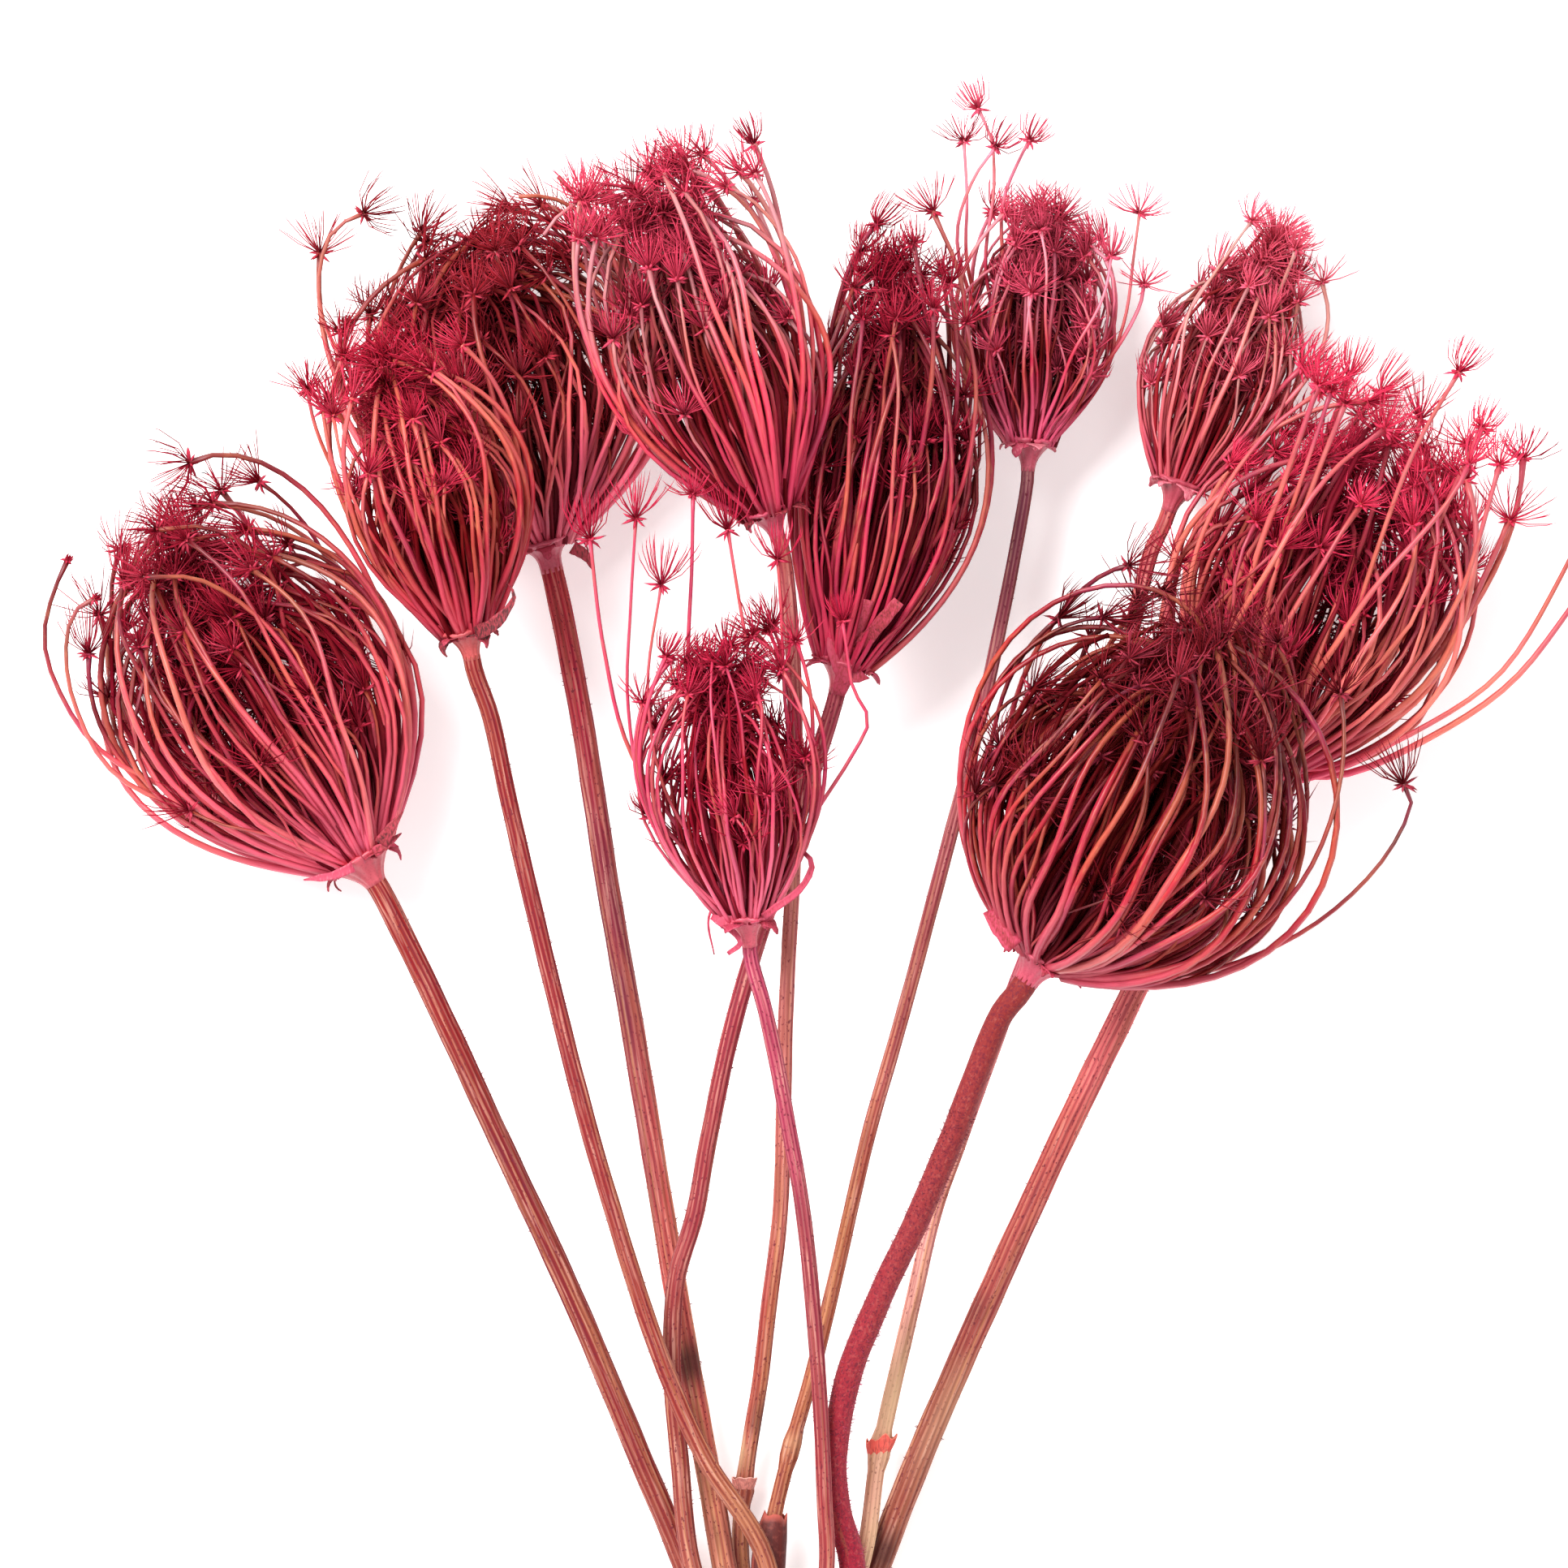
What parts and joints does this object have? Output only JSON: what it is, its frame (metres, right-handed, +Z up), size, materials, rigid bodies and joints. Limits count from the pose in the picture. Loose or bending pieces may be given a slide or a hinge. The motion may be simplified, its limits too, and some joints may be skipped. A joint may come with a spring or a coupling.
{
  "type": "dried chervil bunch",
  "caption": "Hand-tied bunch of dried, red-dyed wild chervil lying flat: ribbed stems that end in seed umbels whose thin rays have curled up like birds' nests.",
  "frame": {"origin": "middle of the bunch's footprint on the surface that it lies on", "axes": "+Y along the bunch towards the umbels, +Z up from the surface"},
  "size_m": [0.3444, 0.4862, 0.0997],
  "materials": {
    "dyed_stem": "dry, matte, finely ribbed and speckled",
    "dyed_ray": "dry, matte, pink at the cup to dark red at the tips",
    "twine": "twisted plant fibre, matte"
  },
  "bodies": {
    "root": {"stem_1": "dyed_stem", "stem_2": "dyed_stem", "stem_3": "dyed_stem", "stem_4": "dyed_stem", "stem_5": "dyed_stem", "stem_6": "dyed_stem", "stem_7": "dyed_stem", "stem_8": "dyed_stem", "stem_9": "dyed_stem", "stem_10": "dyed_stem", "umbel_1": "dyed_ray", "umbel_2": "dyed_ray", "umbel_3": "dyed_ray", "umbel_4": "dyed_ray", "umbel_5": "dyed_ray", "umbel_6": "dyed_ray", "umbel_7": "dyed_ray", "umbel_8": "dyed_ray", "umbel_9": "dyed_ray", "umbel_10": "dyed_ray", "tie": "twine"}
  },
  "joints": []
}
